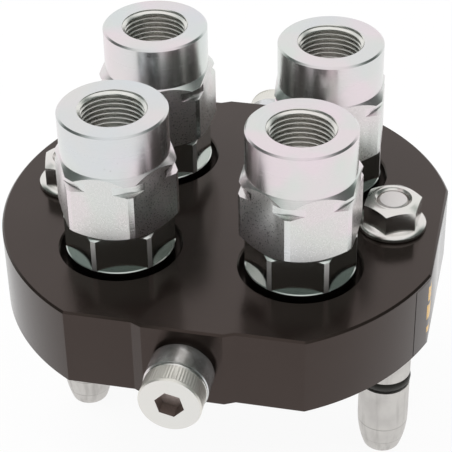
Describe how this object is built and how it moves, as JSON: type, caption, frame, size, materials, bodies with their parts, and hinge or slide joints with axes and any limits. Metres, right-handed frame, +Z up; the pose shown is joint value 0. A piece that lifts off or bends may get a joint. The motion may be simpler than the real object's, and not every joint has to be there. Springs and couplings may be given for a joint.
{
  "type": "hydraulic multi-coupling",
  "caption": "Round plate carrying flat-face hydraulic couplers with hexagonal threaded ports, guide pins that reach through to the other half, and side rollers for a locking lever.",
  "frame": {"origin": "centre of the plate's underside, the face that meets the other half", "axes": "+Z up out of the threaded ports, +X to the side with the flat, -Y to the front roller"},
  "size_m": [0.1112, 0.1284, 0.1123],
  "materials": {
    "anodised_plate": "matte black-brown anodised",
    "zinc_steel": "turned and milled, bright zinc plated",
    "plain_steel": "turned",
    "pin_steel": "fine turned, matte",
    "spring_steel": "phosphated and oiled",
    "black_rubber": "smooth nitrile rubber",
    "seal_plastic": "filled seal plastic",
    "label_foil": "black foil, bare"
  },
  "bodies": {
    "plate": {"coupling_plate": "anodised_plate", "guide_pin_left": "pin_steel", "pin_ring_left": "black_rubber", "flange_nut_left": "zinc_steel", "guide_pin_right": "pin_steel", "pin_ring_right": "black_rubber", "flange_nut_right": "zinc_steel", "cam_screw_front": "zinc_steel", "cam_screw_back": "zinc_steel"},
    "cartridge_front_left": {"port_adapter_front_left": "zinc_steel", "nipple_body_front_left": "zinc_steel", "adapter_seal_front_left": "black_rubber", "spring_guide_front_left": "plain_steel", "valve_spring_front_left": "spring_steel", "retaining_ring_front_left": "spring_steel"},
    "poppet_front_left": {"valve_poppet_front_left": "zinc_steel", "poppet_seal_front_left": "seal_plastic"},
    "cartridge_front_right": {"port_adapter_front_right": "zinc_steel", "nipple_body_front_right": "zinc_steel", "adapter_seal_front_right": "black_rubber", "spring_guide_front_right": "plain_steel", "valve_spring_front_right": "spring_steel", "retaining_ring_front_right": "spring_steel"},
    "poppet_front_right": {"valve_poppet_front_right": "zinc_steel", "poppet_seal_front_right": "seal_plastic"},
    "cartridge_back_left": {"port_adapter_back_left": "zinc_steel", "nipple_body_back_left": "zinc_steel", "adapter_seal_back_left": "black_rubber", "spring_guide_back_left": "plain_steel", "valve_spring_back_left": "spring_steel", "retaining_ring_back_left": "spring_steel"},
    "poppet_back_left": {"valve_poppet_back_left": "zinc_steel", "poppet_seal_back_left": "seal_plastic"},
    "cartridge_back_right": {"port_adapter_back_right": "zinc_steel", "nipple_body_back_right": "zinc_steel", "adapter_seal_back_right": "black_rubber", "spring_guide_back_right": "plain_steel", "valve_spring_back_right": "spring_steel", "retaining_ring_back_right": "spring_steel"},
    "poppet_back_right": {"valve_poppet_back_right": "zinc_steel", "poppet_seal_back_right": "seal_plastic"},
    "roller_front": {"cam_roller_front": "zinc_steel"},
    "roller_back": {"cam_roller_back": "zinc_steel"}
  },
  "joints": [
    {"name": "cartridge_swivel_front_left", "type": "hinge", "parent": "plate", "child": "cartridge_front_left", "pos_m": [-0.0225, -0.0202, 0.0165], "axis": [0, 0, 1], "continuous": true},
    {"name": "poppet_slide_front_left", "type": "slide", "parent": "cartridge_front_left", "child": "poppet_front_left", "axis": [0, 0, 1], "range_m": [0, 0.008], "stiffness_N_per_m": 1500, "springref_m": -0.006, "deforming": ["valve_spring_front_left"]},
    {"name": "cartridge_swivel_front_right", "type": "hinge", "parent": "plate", "child": "cartridge_front_right", "pos_m": [0.0225, -0.0202, 0.0165], "axis": [0, 0, 1], "continuous": true},
    {"name": "poppet_slide_front_right", "type": "slide", "parent": "cartridge_front_right", "child": "poppet_front_right", "axis": [0, 0, 1], "range_m": [0, 0.008], "stiffness_N_per_m": 1500, "springref_m": -0.006, "deforming": ["valve_spring_front_right"]},
    {"name": "cartridge_swivel_back_left", "type": "hinge", "parent": "plate", "child": "cartridge_back_left", "pos_m": [-0.0225, 0.0202, 0.0165], "axis": [0, 0, 1], "continuous": true},
    {"name": "poppet_slide_back_left", "type": "slide", "parent": "cartridge_back_left", "child": "poppet_back_left", "axis": [0, 0, 1], "range_m": [0, 0.008], "stiffness_N_per_m": 1500, "springref_m": -0.006, "deforming": ["valve_spring_back_left"]},
    {"name": "cartridge_swivel_back_right", "type": "hinge", "parent": "plate", "child": "cartridge_back_right", "pos_m": [0.0225, 0.0202, 0.0165], "axis": [0, 0, 1], "continuous": true},
    {"name": "poppet_slide_back_right", "type": "slide", "parent": "cartridge_back_right", "child": "poppet_back_right", "axis": [0, 0, 1], "range_m": [0, 0.008], "stiffness_N_per_m": 1500, "springref_m": -0.006, "deforming": ["valve_spring_back_right"]},
    {"name": "roller_turn_front", "type": "hinge", "parent": "plate", "child": "roller_front", "pos_m": [0.00025, -0.05045, 0.01075], "axis": [0, -1, 0], "continuous": true},
    {"name": "roller_turn_back", "type": "hinge", "parent": "plate", "child": "roller_back", "pos_m": [0.00025, 0.05045, 0.01075], "axis": [0, 1, 0], "continuous": true}
  ]
}
